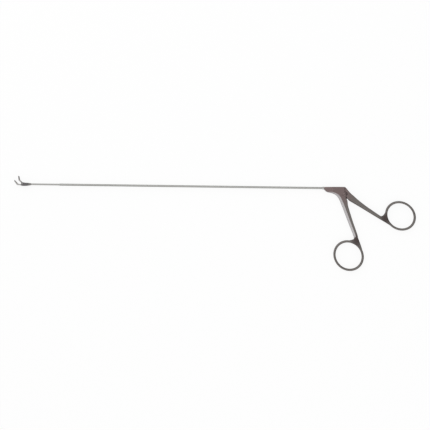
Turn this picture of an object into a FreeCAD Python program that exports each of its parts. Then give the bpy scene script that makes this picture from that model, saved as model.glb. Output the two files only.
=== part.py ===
import FreeCAD, Part
import math
import os

Vector = FreeCAD.Vector

# Microlaryngeal cup forceps, lying on its side. Millimetres and degrees.
# +X runs back along the shaft towards the hand, +Y points away from the finger rings,
# +Z is the side that faces up. The origin is on the shaft axis, where the full-diameter
# wall of the shaft ends at the nose ferrule.

# Shaft tube and distal tube
SHAFT_RADIUS = 0.925
SHAFT_BORE_RADIUS = 0.6
SHAFT_LENGTH = 235.8
SHAFT_TAPER = 0.9
SPIGOT_RADIUS = 0.7
SPIGOT_IN_HANDLE = 7.5
DISTAL_RADIUS = 0.75
DISTAL_BORE_RADIUS = 0.56
DISTAL_LENGTH = 26.1
TUBE_JOINT_LENGTH = 6.0

# Nose ferrule and lock screw
FERRULE_LENGTH = 1.8
FERRULE_RADIUS = 1.2
LOCK_SCREW_RADIUS = 0.8
LOCK_SCREW_FROM_NOSE = 4.2
LOCK_SCREW_LENGTH = 2.2
LOCK_SOCKET_FLATS = 0.9
LOCK_SOCKET_DEPTH = 0.9

# Handle joint
PIVOT_X = 20.2
PIVOT_Y = -5.35
PIVOT_RADIUS = 0.9
PIVOT_THREAD_RADIUS = 0.7
PIVOT_HEAD_RADIUS = 1.6
PIVOT_HEAD_HEIGHT = 0.8
PIVOT_HEAD_PROUD = 0.3
SCREW_SLOT_WIDTH = 0.35
SCREW_SLOT_DEPTH = 0.3
BUSH_RADIUS = 1.3
WASHER_RADIUS = 2.0
WASHER_THICKNESS = 0.15
EAR_RADIUS = 2.3
SEAM_X = 20.35
SEAM_GAP = 0.06
EAR_GAP = 0.15
NOTCH_ANGLE = -65.6
NOTCH_REACH = 5.33
WEDGE_SPARE = 1.2

# Handle body
BODY_TOP_FRONT = 0.98
BODY_TOP_REAR = 1.3
NOSE_BOTTOM = -1.4
HANDLE_THICKNESS = 4.8
NOSE_THICKNESS = 2.8
NOSE_TAPER_LENGTH = 8.0
SLOT_WIDTH = 2.2
SLOT_ROUND = 2.9
CHANNEL_FROM_NOSE = 8.0
CHANNEL_FLOOR = -1.15
TONGUE_RADIUS = 2.6
WEB_THICKNESS = 2.6
LEG_BEVEL = 0.75
FOOT_INSET = 0.15
TONGUE_THICKNESS = 1.8
STOP_PIN_RADIUS = 0.5
STOP_PIN_ANGLE = 200.0
SCREW_SLOT_TURN = 60.0
GLAND_LENGTH = 2.0

# Legs, station by station: front or lower edge, rear or upper edge, thickness
FRONT_LEG = [
    ((15.0, -8.4), (21.0, -8.0), 3.8),
    ((16.3, -11.6), (22.5, -10.6), 3.9),
    ((19.1, -18.2), (23.7, -16.4), 3.6),
    ((24.0, -30.7), (27.85, -29.2), 3.1),
    ((28.6, -42.0), (32.1, -40.8), 2.75)]
REAR_LEG = [
    ((23.8, -9.2), (26.0, -5.2), 3.9),
    ((25.35, -11.2), (28.3, -6.6), 3.9),
    ((30.8, -14.1), (33.4, -10.95), 3.6),
    ((38.05, -18.35), (40.0, -15.9), 3.1),
    ((50.2, -25.85), (51.6, -23.6), 2.75)]

# Edges of the joint block: under the nose, over the thumb side, and across the tongue's root
CHIN = ((2.9, -2.75), (5.0, -3.7), (9.1, -4.6), (12.7, -6.4))
SHOULDER = ((21.9, -0.1), (25.0, -3.7))
TONGUE_ROOT = ((26.0, -6.5), (21.95, -1.9), (20.35, -2.2))

# Webs, where each leg runs into its ring: the inner edge with its fillet, and the outer edge
FRONT_WEB = {"inner": ((28.3, -41.2), (28.95, -43.3)), "fillet": (28.5, -45.7), "inner_angle": 88.0,
             "outer": ((37.2, -56.8), (34.7, -48.8), (32.2, -41.0)), "outer_angle": 15.0}
REAR_WEB = {"inner": ((50.9, -23.2), (52.6, -24.1)), "fillet": (55.2, -23.9), "inner_angle": 167.0,
            "outer": ((64.2, -35.3), (57.2, -30.05), (49.5, -25.4)), "outer_angle": 240.0}

# Rings: centre, half axes of the wire's middle line, tilt of the long axis, wire section
FINGER_RING = {"x": 24.71, "y": -60.45, "long": 13.36, "short": 12.16, "tilt": -47.0}
THUMB_RING = {"x": 70.93, "y": -24.04, "long": 13.36, "short": 11.74, "tilt": -34.9}
RING_WIRE_WIDTH = 2.05
RING_WIRE_DEPTH = 3.1
RING_BEVEL = 0.6

# Hinge head and jaws
HEAD_LENGTH = 7.6
JAW_PIN_Y = 0.55
JAW_PIN_RADIUS = 0.35
DRIVE_ARM = 1.3
DRIVE_PIN_RADIUS = 0.27
JAW_OPENING = 35.0
HEAD_WIDTH = 2.6
HEAD_SLOT_WIDTH = 1.7
HEAD_EAR_RADIUS = 1.0
HEAD_FRONT = 1.25
HEAD_SLOT_LENGTH = 5.25
HEAD_TOP = 1.45
HEAD_BOTTOM = -1.58
HEAD_REAR_RADIUS = 0.93
HEAD_SOCKET_DEPTH = 2.6
JAW_TAIL_WIDTH = 0.7
JAW_TAIL_WALL = 0.24
JAW_HUB_RADIUS = 0.85
JAW_ARM_WIDTH = 1.5
JAW_ARM_TOP = 0.1
CUP_FROM_PIN = 4.3
CUP_ABOVE_PIN = 0.1
CUP_TILT = 47.0
CUP_LENGTH = 4.3
CUP_RADIUS = 1.15
CUP_WALL = 0.28
CUP_GAP = 0.04

# Edges of the jaws' arms, by their distances from the jaw pin while the jaws are closed
FIXED_ARM_LOWER = ((-2.9, -1.53), (-4.4, -1.4), (-5.5, -0.75))
FIXED_ARM_UPPER = (-3.1, -0.43)
MOVING_ARM_UPPER = ((-2.1, 1.07), (-3.5, 1.4))
MOVING_ARM_LOWER = ((-3.7, 0.17), (-1.7, -0.05))

# Pull rod and its ends
ROD_RADIUS = 0.4
ROD_TIP_RADIUS = 0.26
ROD_TIP_LENGTH = 1.4
ROD_GUIDE_CLEARANCE = 0.03
BUSH_LENGTH = 4.0
GUIDE_BUSH_COUNT = 3
FORK_EAR_THICKNESS = 0.4
FORK_EAR_RADIUS = 0.5
FORK_LENGTH = 2.9
FORK_BARREL_LENGTH = 2.0
FORK_BARREL_RADIUS = 0.5
CLEVIS_RADIUS = 0.95
CLEVIS_SLOT = 0.9
CLEVIS_EAR_LENGTH = 3.6
CLEVIS_BARREL_LENGTH = 4.0
LINK_PIN_RADIUS = 0.35
LINK_TONGUE_THICKNESS = 0.8
LINK_SPARE = 0.35
NUT_FLATS = 1.5
NUT_THICKNESS = 0.8

# Clearances
RUNNING = 0.03
LINK_RUNNING = 0.04
SIDE_CLEARANCE = 0.05

# How far a cutting shape runs past the surface it cuts, and a reach past the whole handle
OVERRUN = 5.0
REACH = 40.0

# What follows from the sizes above
HALF_TRAVEL = DRIVE_ARM * math.tan(math.radians(JAW_OPENING / 2))
LINK_ARM = -PIVOT_Y
SWING = 2 * math.degrees(math.atan(HALF_TRAVEL / LINK_ARM))
LINK_X = PIVOT_X - HALF_TRAVEL
NOSE_X = FERRULE_LENGTH
JAW_PIN_X = -SHAFT_LENGTH - DISTAL_LENGTH - HEAD_LENGTH
PIVOT = Vector(PIVOT_X, PIVOT_Y, 0)
JAW_PIN = Vector(JAW_PIN_X, JAW_PIN_Y, 0)
HALF_HANDLE = HANDLE_THICKNESS / 2
HALF_SLOT = SLOT_WIDTH / 2


def point(x, y):
    return Vector(x, y, 0)


def polar(centre, radius, angle):
    turn = math.radians(angle)
    return centre + Vector(radius * math.cos(turn), radius * math.sin(turn), 0)


def line(start, end):
    return Part.LineSegment(start, end).toShape()


def arc(start, middle, end):
    return Part.Arc(start, middle, end).toShape()


def curve(points):
    spline = Part.BSplineCurve()
    spline.interpolate(points)
    return spline.toShape()


def plate(edges, low, high):
    """Solid between two heights whose plan is the closed row of edges."""
    face = Part.Face(Part.Wire(edges))
    face.translate(Vector(0, 0, low))
    return face.extrude(Vector(0, 0, high - low))


def polygon(points, low, high):
    face = Part.Face(Part.makePolygon(points + [points[0]]))
    face.translate(Vector(0, 0, low))
    return face.extrude(Vector(0, 0, high - low))


def bar_x(radius, start, end, y=0.0):
    return Part.makeCylinder(radius, end - start, Vector(start, y, 0), Vector(1, 0, 0))


def cone_x(start_radius, end_radius, start, end):
    return Part.makeCone(start_radius, end_radius, end - start, Vector(start, 0, 0), Vector(1, 0, 0))


def disc(radius, centre, low, high):
    return Part.makeCylinder(radius, high - low, Vector(centre.x, centre.y, low), Vector(0, 0, 1))


def seen_from_above(half_outline):
    """Upright block whose outline across the thickness is given as (x, half width) from end to end."""
    corners = [Vector(x, -REACH, half) for x, half in half_outline]
    corners += [Vector(x, -REACH, -half) for x, half in reversed(half_outline)]
    return Part.Face(Part.makePolygon(corners + [corners[0]])).extrude(Vector(0, 2 * REACH, 0))


def hexagon_x(flats, start, end, y=0.0):
    reach = flats / math.sqrt(3)
    corners = []
    for side in range(7):
        turn = math.radians(60 * side)
        corners.append(Vector(start, y + reach * math.cos(turn), reach * math.sin(turn)))
    return Part.Face(Part.makePolygon(corners)).extrude(Vector(end - start, 0, 0))


def both_sides(solid):
    """The solid and its mirror image across the middle plane of the instrument."""
    return solid.fuse(solid.mirror(Vector(0, 0, 0), Vector(0, 0, 1)))


def save(node, shape):
    shape = shape.removeSplitter()
    print(node, len(shape.Solids), "solids", round(shape.Volume, 3), "mm3", shape.isValid())
    shape.exportStep("parts/" + node + ".step")


def ring_point(ring, angle, outward=0.0):
    """Point on the wire's middle line seen from the ring's centre at the angle, moved outward."""
    turn = math.radians(angle - ring["tilt"])
    reach = ring["long"] * ring["short"] / math.hypot(
        ring["short"] * math.cos(turn), ring["long"] * math.sin(turn))
    return polar(point(ring["x"], ring["y"]), reach + outward, angle)


def bevelled(middle, across, width, depth, bevel):
    """Outline of a bevelled bar's section, which stands upright across the plan direction given."""
    half = width / 2
    rise = depth / 2
    corners = [(half, rise - bevel), (half - bevel, rise), (bevel - half, rise), (-half, rise - bevel),
               (-half, bevel - rise), (bevel - half, -rise), (half - bevel, -rise), (half, bevel - rise)]
    points = [middle + across * side + Vector(0, 0, height) for side, height in corners]
    return Part.makePolygon(points + [points[0]])


def ring_solid(ring):
    """Oval ring of four arcs that run into each other, two round its ends and two along its sides."""
    long, short = ring["long"], ring["short"]
    diagonal = math.hypot(long, short)
    end_radius = (diagonal ** 2 - (long - short) * diagonal) / (2 * long)
    side_radius = (diagonal ** 2 + (long - short) * diagonal) / (2 * short)
    turn = math.degrees(math.atan2(long, short))
    centre = point(ring["x"], ring["y"])
    bars = []
    end_arc = (long, end_radius, turn)
    side_arc = (short, side_radius, 90 - turn)
    for quarter, (reach, radius, half_angle) in enumerate((end_arc, side_arc, end_arc, side_arc)):
        angle = ring["tilt"] + 90 * quarter
        arc_centre = polar(centre, reach - radius, angle)
        across = polar(Vector(0, 0, 0), 1, angle - half_angle)
        section = bevelled(arc_centre + across * radius, across, RING_WIRE_WIDTH, RING_WIRE_DEPTH, RING_BEVEL)
        bars.append(Part.Face(section).revolve(arc_centre, Vector(0, 0, 1), 2 * half_angle))
    return bars[0].fuse(bars[1:])


def leg_section(front, rear, thickness):
    """Bevelled section across a leg, from its front edge to its rear edge in plan."""
    width = (rear - front).Length
    return bevelled((front + rear) * 0.5, (rear - front) * (1 / width), width, thickness, LEG_BEVEL)


def leg_solid(stations):
    """Leg lofted through its stations of front edge, rear edge and thickness."""
    sections = [leg_section(point(*front), point(*rear), thickness) for front, rear, thickness in stations]
    return Part.makeLoft(sections, True, False)


def leg_foot(stations):
    """Corners of the joint block where the leg grows out of it, just inside the leg's sides."""
    front = point(*stations[1][0])
    rear = point(*stations[1][1])
    inset = (rear - front).normalize() * FOOT_INSET
    return front + inset, rear - inset


def web_solid(ring, web):
    """Flat web between a leg and its ring, with the concave fillet on the inner edge."""
    half = WEB_THICKNESS / 2
    inner = [point(*spot) for spot in web["inner"]]
    outer = [point(*spot) for spot in web["outer"]]
    on_ring = ring_point(ring, web["inner_angle"], RING_WIRE_WIDTH / 2 - 0.1)
    step = (web["outer_angle"] - web["inner_angle"]) / 3
    middle_line = [ring_point(ring, web["inner_angle"] + step * place) for place in range(4)]
    return plate([line(inner[0], inner[1]), arc(inner[1], point(*web["fillet"]), on_ring),
                  line(on_ring, middle_line[0]), curve(middle_line), line(middle_line[-1], outer[0]),
                  curve(outer), line(outer[-1], inner[0])], -half, half)


# Front handle

def front_handle():
    apex = point(SEAM_X, BODY_TOP_REAR)
    nose_top = point(NOSE_X, BODY_TOP_FRONT)
    nose_low = point(NOSE_X, NOSE_BOTTOM)
    ear_top = point(SEAM_X, PIVOT_Y + math.sqrt(EAR_RADIUS ** 2 - (SEAM_X - PIVOT_X) ** 2))
    ear_low = polar(PIVOT, EAR_RADIUS, NOTCH_ANGLE)
    notch = polar(PIVOT, NOTCH_REACH, NOTCH_ANGLE)
    foot_front, foot_rear = leg_foot(FRONT_LEG)
    chin = [nose_low] + [point(*spot) for spot in CHIN] + [foot_front]
    block = plate([line(nose_top, nose_low), curve(chin), line(foot_front, foot_rear),
                   line(foot_rear, notch), line(notch, ear_low),
                   arc(ear_low, polar(PIVOT, EAR_RADIUS, 0), ear_top),
                   line(ear_top, apex), line(apex, nose_top)], -HALF_HANDLE, HALF_HANDLE)
    block = block.common(seen_from_above([(NOSE_X, NOSE_THICKNESS / 2),
                                          (NOSE_X + NOSE_TAPER_LENGTH, HALF_HANDLE),
                                          (SEAM_X + 2 * EAR_RADIUS, HALF_HANDLE)]))
    handle = block.fuse(leg_solid(FRONT_LEG))
    handle = handle.fuse(web_solid(FINGER_RING, FRONT_WEB).fuse(ring_solid(FINGER_RING)))
    return handle.cut(front_handle_cuts())


def front_handle_cuts():
    """Bores for the shaft, the screws and the pins, and the slot for tongue and rod."""
    spigot_end = NOSE_X + SPIGOT_IN_HANDLE
    channel_start = NOSE_X + CHANNEL_FROM_NOSE
    low = polar(PIVOT, SLOT_ROUND, NOTCH_ANGLE)
    far = polar(PIVOT, NOTCH_REACH + OVERRUN, NOTCH_ANGLE)
    side = polar(PIVOT, SLOT_ROUND, 180)
    corner = point(far.x + OVERRUN, OVERRUN)
    channel_top = point(channel_start, OVERRUN)
    slot = plate([line(low, far), line(far, corner), line(corner, channel_top),
                  line(channel_top, point(channel_start, CHANNEL_FLOOR)),
                  line(point(channel_start, CHANNEL_FLOOR), point(side.x, CHANNEL_FLOOR)),
                  line(point(side.x, CHANNEL_FLOOR), side),
                  arc(side, polar(PIVOT, SLOT_ROUND, (180 + 360 + NOTCH_ANGLE) / 2), low)],
                 -HALF_SLOT, HALF_SLOT)
    spigot = bar_x(SPIGOT_RADIUS, NOSE_X - 1, spigot_end)
    passage = bar_x(SHAFT_BORE_RADIUS, spigot_end - 1, channel_start + 1)
    head_seat = disc(PIVOT_HEAD_RADIUS + RUNNING, PIVOT,
                     HALF_HANDLE + PIVOT_HEAD_PROUD - PIVOT_HEAD_HEIGHT, HALF_HANDLE + 1)
    shank = disc(PIVOT_RADIUS, PIVOT, 0, HALF_HANDLE)
    thread = disc(PIVOT_THREAD_RADIUS, PIVOT, -HALF_HANDLE - 1, 0)
    lock = Part.makeCylinder(LOCK_SCREW_RADIUS, REACH, Vector(NOSE_X + LOCK_SCREW_FROM_NOSE, 0, 0),
                             Vector(0, -1, 0))
    stop = disc(STOP_PIN_RADIUS, stop_pin_place(), -HALF_HANDLE - 1, HALF_HANDLE + 1)
    return [slot, spigot, passage, head_seat, shank, thread, lock, stop]


def stop_pin_place():
    """Where the stop pin stands: just short of the tongue's tail at the end of the squeeze."""
    return polar(PIVOT, TONGUE_RADIUS + STOP_PIN_RADIUS + RUNNING, STOP_PIN_ANGLE)


# Thumb handle

def thumb_handle():
    seam = SEAM_X + SEAM_GAP
    recess = EAR_RADIUS + EAR_GAP
    open_angle = NOTCH_ANGLE + SWING + WEDGE_SPARE
    top = point(seam, BODY_TOP_REAR)
    recess_top = point(seam, PIVOT_Y + math.sqrt(recess ** 2 - (seam - PIVOT_X) ** 2))
    recess_low = polar(PIVOT, recess, open_angle)
    heel = polar(PIVOT, NOTCH_REACH - 0.2, open_angle)
    foot_lower, foot_upper = leg_foot(REAR_LEG)
    shoulder = [top] + [point(*spot) for spot in SHOULDER] + [foot_upper]
    block = plate([curve(shoulder), line(foot_upper, foot_lower),
                   line(foot_lower, heel), line(heel, recess_low),
                   arc(recess_low, polar(PIVOT, recess, 0), recess_top), line(recess_top, top)],
                  -HALF_HANDLE, HALF_HANDLE)
    link = point(LINK_X, 0)
    pocket = CLEVIS_RADIUS + LINK_SPARE / 2
    for low, high in ((LINK_TONGUE_THICKNESS / 2, HALF_SLOT), (-HALF_SLOT, -LINK_TONGUE_THICKNESS / 2)):
        block = block.cut(disc(pocket, link, low, high))
    handle = block.fuse(tongue(open_angle)).fuse(leg_solid(REAR_LEG))
    handle = handle.fuse(web_solid(THUMB_RING, REAR_WEB).fuse(ring_solid(THUMB_RING)))
    return handle.cut([disc(BUSH_RADIUS, PIVOT, -HALF_SLOT, HALF_SLOT),
                       disc(LINK_PIN_RADIUS + LINK_RUNNING, link, -HALF_SLOT, HALF_SLOT)])


def tongue(open_angle):
    half = TONGUE_THICKNESS / 2
    link = point(LINK_X, 0)
    tip = CLEVIS_RADIUS - 0.05
    hub = disc(TONGUE_RADIUS, PIVOT, -half, half)
    root = [PIVOT, polar(PIVOT, NOTCH_REACH - 0.8, open_angle)] + [point(*spot) for spot in TONGUE_ROOT]
    join = polygon(root, -half, half)
    arm = plate([line(polar(PIVOT, TONGUE_RADIUS - 0.5, 180), polar(link, tip, 180)),
                 arc(polar(link, tip, 180), polar(link, tip, 90), polar(link, tip, 0)),
                 line(polar(link, tip, 0), polar(PIVOT, TONGUE_RADIUS, 0)),
                 line(polar(PIVOT, TONGUE_RADIUS, 0), polar(PIVOT, TONGUE_RADIUS - 0.5, 180))], -half, half)
    plain = hub.fuse([join, arm])
    thin = LINK_TONGUE_THICKNESS / 2
    floor = -CLEVIS_RADIUS - LINK_SPARE
    clear_front = [point(link.x - OVERRUN, floor), point(link.x, floor), point(link.x, OVERRUN),
                   point(link.x - OVERRUN, OVERRUN)]
    for low, high in ((thin, HALF_SLOT), (-HALF_SLOT, -thin)):
        plain = plain.cut(polygon(clear_front, low, high))
        plain = plain.cut(disc(CLEVIS_RADIUS + LINK_SPARE / 2, link, low, high))
    return plain


def pivot_screw():
    head_top = HALF_HANDLE + PIVOT_HEAD_PROUD
    head_low = head_top - PIVOT_HEAD_HEIGHT
    head = disc(PIVOT_HEAD_RADIUS, PIVOT, head_low, head_top)
    rim = [edge for edge in head.Edges if edge.BoundBox.ZMin > head_top - 0.01]
    head = head.makeChamfer(PIVOT_HEAD_PROUD * 0.8, rim)
    shank = disc(PIVOT_RADIUS, PIVOT, -HALF_SLOT, head_low)
    thread = disc(PIVOT_THREAD_RADIUS, PIVOT, -HALF_HANDLE, -HALF_SLOT)
    slot_corner = Vector(-2 * PIVOT_HEAD_RADIUS, -SCREW_SLOT_WIDTH / 2, head_top - SCREW_SLOT_DEPTH)
    slot = Part.makeBox(4 * PIVOT_HEAD_RADIUS, SCREW_SLOT_WIDTH, OVERRUN, PIVOT + slot_corner)
    slot.rotate(PIVOT, Vector(0, 0, 1), SCREW_SLOT_TURN)
    return head.fuse([shank, thread]).cut(slot)


def pivot_bush():
    half = TONGUE_THICKNESS / 2
    bush = disc(BUSH_RADIUS, PIVOT, -half, half)
    return bush.cut(disc(PIVOT_RADIUS + RUNNING, PIVOT, -half, half))


def pivot_washers():
    """Thrust washers that rest against the cheeks and leave a running gap to the tongue."""
    bore = disc(PIVOT_RADIUS + RUNNING, PIVOT, -HALF_SLOT, HALF_SLOT)
    upper = disc(WASHER_RADIUS, PIVOT, HALF_SLOT - WASHER_THICKNESS, HALF_SLOT)
    return both_sides(upper.cut(bore))


def stop_pin():
    return disc(STOP_PIN_RADIUS, stop_pin_place(), -HALF_HANDLE, HALF_HANDLE)


# Shaft

def nose_ferrule():
    ring = bar_x(FERRULE_RADIUS, 0, FERRULE_LENGTH)
    front = [edge for edge in ring.Edges if edge.BoundBox.XMax < 0.01]
    ring = ring.makeChamfer(FERRULE_RADIUS - SHAFT_RADIUS - 0.01, front)
    return ring.cut(bar_x(SPIGOT_RADIUS, -1, FERRULE_LENGTH + 1))


def shaft_tube():
    front = -SHAFT_LENGTH
    spigot_end = NOSE_X + SPIGOT_IN_HANDLE
    taper = cone_x(DISTAL_RADIUS + RUNNING, SHAFT_RADIUS, front - SHAFT_TAPER, front)
    tube = bar_x(SHAFT_RADIUS, front, 0).fuse([taper, bar_x(SPIGOT_RADIUS, 0, spigot_end)])
    return tube.cut([bar_x(SHAFT_BORE_RADIUS, front - 5, spigot_end + 1),
                     bar_x(DISTAL_RADIUS, front - 5, front + TUBE_JOINT_LENGTH)])


def distal_tube():
    rear = -SHAFT_LENGTH + TUBE_JOINT_LENGTH
    front = -SHAFT_LENGTH - DISTAL_LENGTH - HEAD_SOCKET_DEPTH
    return bar_x(DISTAL_RADIUS, front, rear).cut(bar_x(DISTAL_BORE_RADIUS, front - 1, rear + 1))


def tube_lock_screw():
    place = NOSE_X + LOCK_SCREW_FROM_NOSE
    screw = Part.makeCylinder(LOCK_SCREW_RADIUS, LOCK_SCREW_LENGTH, Vector(place, -SPIGOT_RADIUS, 0),
                              Vector(0, -1, 0))
    reach = LOCK_SOCKET_FLATS / math.sqrt(3)
    depth = -SPIGOT_RADIUS - LOCK_SCREW_LENGTH
    corners = [Vector(place + reach * math.cos(math.radians(60 * side)), depth,
                      reach * math.sin(math.radians(60 * side))) for side in range(7)]
    socket = Part.Face(Part.makePolygon(corners)).extrude(Vector(0, LOCK_SOCKET_DEPTH, 0))
    return screw.cut(socket)


def guide_bush(start, length):
    outer = bar_x(SHAFT_BORE_RADIUS, start, start + length)
    return outer.cut(bar_x(ROD_RADIUS + ROD_GUIDE_CLEARANCE, start - 1, start + length + 1))


def guide_bushes():
    first = -SHAFT_LENGTH + TUBE_JOINT_LENGTH
    step = (SHAFT_LENGTH - TUBE_JOINT_LENGTH - BUSH_LENGTH) / GUIDE_BUSH_COUNT
    bushes = [guide_bush(first + step * place, BUSH_LENGTH) for place in range(GUIDE_BUSH_COUNT)]
    return Part.makeCompound(bushes)


def gland_bush():
    return guide_bush(NOSE_X + SPIGOT_IN_HANDLE - GLAND_LENGTH, GLAND_LENGTH)


# Hinge head with the fixed jaw

def from_pin(along, up):
    return JAW_PIN + Vector(along, up, 0)


def mate_point(along, outward=0.0):
    """Point on the plane where the cups meet, by its distance along the cups and towards the moving one."""
    base = polar(from_pin(-CUP_FROM_PIN, CUP_ABOVE_PIN), along, 180 - CUP_TILT)
    return polar(base, outward, 90 - CUP_TILT)


def round_ended_bar(radius, reach):
    """Bar along the cups whose round ends are centred the reach away from its middle."""
    centre = mate_point(CUP_LENGTH / 2)
    axis = mate_point(1) - mate_point(0)
    bar = Part.makeCylinder(radius, 2 * reach, centre - axis * reach, axis)
    return bar.fuse([Part.makeSphere(radius, centre - axis * reach, axis),
                     Part.makeSphere(radius, centre + axis * reach, axis)])


def cup():
    """Both cups as one closed shape, and the hollow inside them."""
    reach = CUP_LENGTH / 2 - CUP_RADIUS
    return round_ended_bar(CUP_RADIUS, reach), round_ended_bar(CUP_RADIUS - CUP_WALL, reach)


def keep_side(side):
    """Block that holds everything on one side of the mating plane, less half the cups' gap."""
    gap = side * CUP_GAP / 2
    corners = [mate_point(-REACH, gap), mate_point(REACH, gap), mate_point(REACH, gap + side * REACH),
               mate_point(-REACH, gap + side * REACH)]
    return polygon(corners, -REACH, REACH)


def fixed_jaw():
    head_rear = -SHAFT_LENGTH - DISTAL_LENGTH
    socket_end = head_rear - HEAD_SOCKET_DEPTH
    slot_front = JAW_PIN_X - HEAD_FRONT
    slot_rear = slot_front + HEAD_SLOT_LENGTH
    half = HEAD_WIDTH / 2
    top = [point(head_rear, HEAD_REAR_RADIUS - 0.05), point(head_rear - 3.0, 1.2),
           point(JAW_PIN_X + 1.3, HEAD_TOP),
           point(JAW_PIN_X - 0.1, JAW_PIN_Y + HEAD_EAR_RADIUS), point(JAW_PIN_X - 1.0, JAW_PIN_Y + 0.35),
           point(slot_front - 0.1, JAW_ARM_TOP)]
    bottom = [point(slot_front - 0.4, HEAD_BOTTOM + 0.25), point(JAW_PIN_X + 1.0, HEAD_BOTTOM),
              point(slot_rear + 0.3, HEAD_BOTTOM + 0.2), point(head_rear, -HEAD_REAR_RADIUS + 0.05)]
    side = plate([curve(top), line(top[-1], bottom[0]), curve(bottom), line(bottom[-1], top[0])], -half, half)
    head = side.common(seen_from_above([(slot_front - 0.6, half - 0.15), (slot_front, half),
                                        (slot_rear, half), (head_rear, HEAD_REAR_RADIUS - 0.05)]))
    low_edge = [point(slot_front, HEAD_BOTTOM + 0.35)] + [from_pin(*spot) for spot in FIXED_ARM_LOWER]
    low_edge.append(mate_point(1.6, -CUP_RADIUS + 0.12))
    inner = [mate_point(1.6, -CUP_GAP / 2), mate_point(0.0, -CUP_GAP / 2)]
    high_edge = [inner[1], from_pin(*FIXED_ARM_UPPER), point(slot_front, JAW_ARM_TOP)]
    arm = plate([curve(low_edge), line(low_edge[-1], inner[0]), line(inner[0], inner[1]), curve(high_edge),
                 line(high_edge[-1], low_edge[0])], -JAW_ARM_WIDTH / 2, JAW_ARM_WIDTH / 2)
    outer, hollow = cup()
    jaw = arm.fuse(outer.common(keep_side(-1))).cut(hollow)
    head = head.cut([bar_x(DISTAL_RADIUS, socket_end, head_rear + 1),
                     bar_x(FORK_BARREL_RADIUS + 0.05, slot_rear - 1, head_rear + 1),
                     disc(JAW_PIN_RADIUS, JAW_PIN, -half, half),
                     Part.makeBox(HEAD_SLOT_LENGTH, 2 * REACH, HEAD_SLOT_WIDTH,
                                  Vector(slot_front, -REACH, -HEAD_SLOT_WIDTH / 2))])
    upper_clear = Part.makeBox(OVERRUN + 1, OVERRUN, HEAD_SLOT_WIDTH,
                               Vector(slot_front - OVERRUN, JAW_ARM_TOP, -HEAD_SLOT_WIDTH / 2))
    return head.cut(upper_clear).fuse(jaw)


def slot_outline(near, far, half, angle):
    """Edges of a slot with round ends, from one centre to the other along the angle."""
    near_left, near_right = polar(near, half, angle + 90), polar(near, half, angle - 90)
    far_left, far_right = polar(far, half, angle + 90), polar(far, half, angle - 90)
    return [line(near_right, far_right), arc(far_right, polar(far, half, angle), far_left),
            line(far_left, near_left), arc(near_left, polar(near, half, angle + 180), near_right)]


def moving_jaw():
    """The moving jaw, made as it stands closed and then turned open about its pin."""
    half = JAW_ARM_WIDTH / 2
    slit_angle = -90 + JAW_OPENING / 2
    near = DRIVE_ARM
    far = DRIVE_ARM / math.cos(math.radians(JAW_OPENING / 2))
    tail_end = far + DRIVE_PIN_RADIUS + RUNNING + JAW_TAIL_WALL
    slit_half = DRIVE_PIN_RADIUS + RUNNING
    tail_half = slit_half + JAW_TAIL_WALL
    hub = disc(JAW_HUB_RADIUS, JAW_PIN, -JAW_TAIL_WIDTH / 2, JAW_TAIL_WIDTH / 2)
    end_centre = polar(JAW_PIN, tail_end - tail_half, slit_angle)
    tail = plate(slot_outline(JAW_PIN, end_centre, tail_half, slit_angle),
                 -JAW_TAIL_WIDTH / 2, JAW_TAIL_WIDTH / 2)
    slit = plate(slot_outline(polar(JAW_PIN, near, slit_angle), polar(JAW_PIN, far, slit_angle),
                              slit_half, slit_angle), -half, half)
    upper = [polar(JAW_PIN, JAW_HUB_RADIUS, 95)] + [from_pin(*spot) for spot in MOVING_ARM_UPPER]
    upper.append(mate_point(1.0, CUP_RADIUS - 0.2))
    lower = [mate_point(1.0, CUP_GAP / 2), mate_point(0.15, CUP_GAP / 2)]
    lower += [from_pin(*spot) for spot in MOVING_ARM_LOWER]
    lower.append(polar(JAW_PIN, JAW_HUB_RADIUS - 0.3, 200))
    arm_edges = [curve(upper), line(upper[-1], lower[0]), line(lower[0], lower[1]), curve(lower[1:]),
                 line(lower[-1], upper[0])]
    arm = plate(arm_edges, -half, half)
    plan_start = JAW_PIN_X - HEAD_FRONT + 0.25
    thin = JAW_TAIL_WIDTH / 2
    arm = arm.common(seen_from_above([(JAW_PIN_X - REACH, half), (plan_start - 0.7, half), (plan_start, thin),
                                      (JAW_PIN_X + JAW_HUB_RADIUS, thin)]))
    outer, hollow = cup()
    jaw = arm.fuse(outer.common(keep_side(1))).cut(hollow)
    jaw = jaw.fuse([hub, tail]).cut([slit, disc(JAW_PIN_RADIUS + RUNNING, JAW_PIN, -half, half)])
    jaw.rotate(JAW_PIN, Vector(0, 0, 1), -JAW_OPENING)
    return jaw


def jaw_pin():
    return disc(JAW_PIN_RADIUS, JAW_PIN, -HEAD_WIDTH / 2, HEAD_WIDTH / 2)


# Pull rod with its fork and clevis

def drive_pin_place():
    return JAW_PIN + Vector(-HALF_TRAVEL, -DRIVE_ARM, 0)


def fork_half_width():
    return JAW_TAIL_WIDTH / 2 + SIDE_CLEARANCE + FORK_EAR_THICKNESS


def drive_pin():
    return disc(DRIVE_PIN_RADIUS, drive_pin_place(), -fork_half_width(), fork_half_width())


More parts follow.
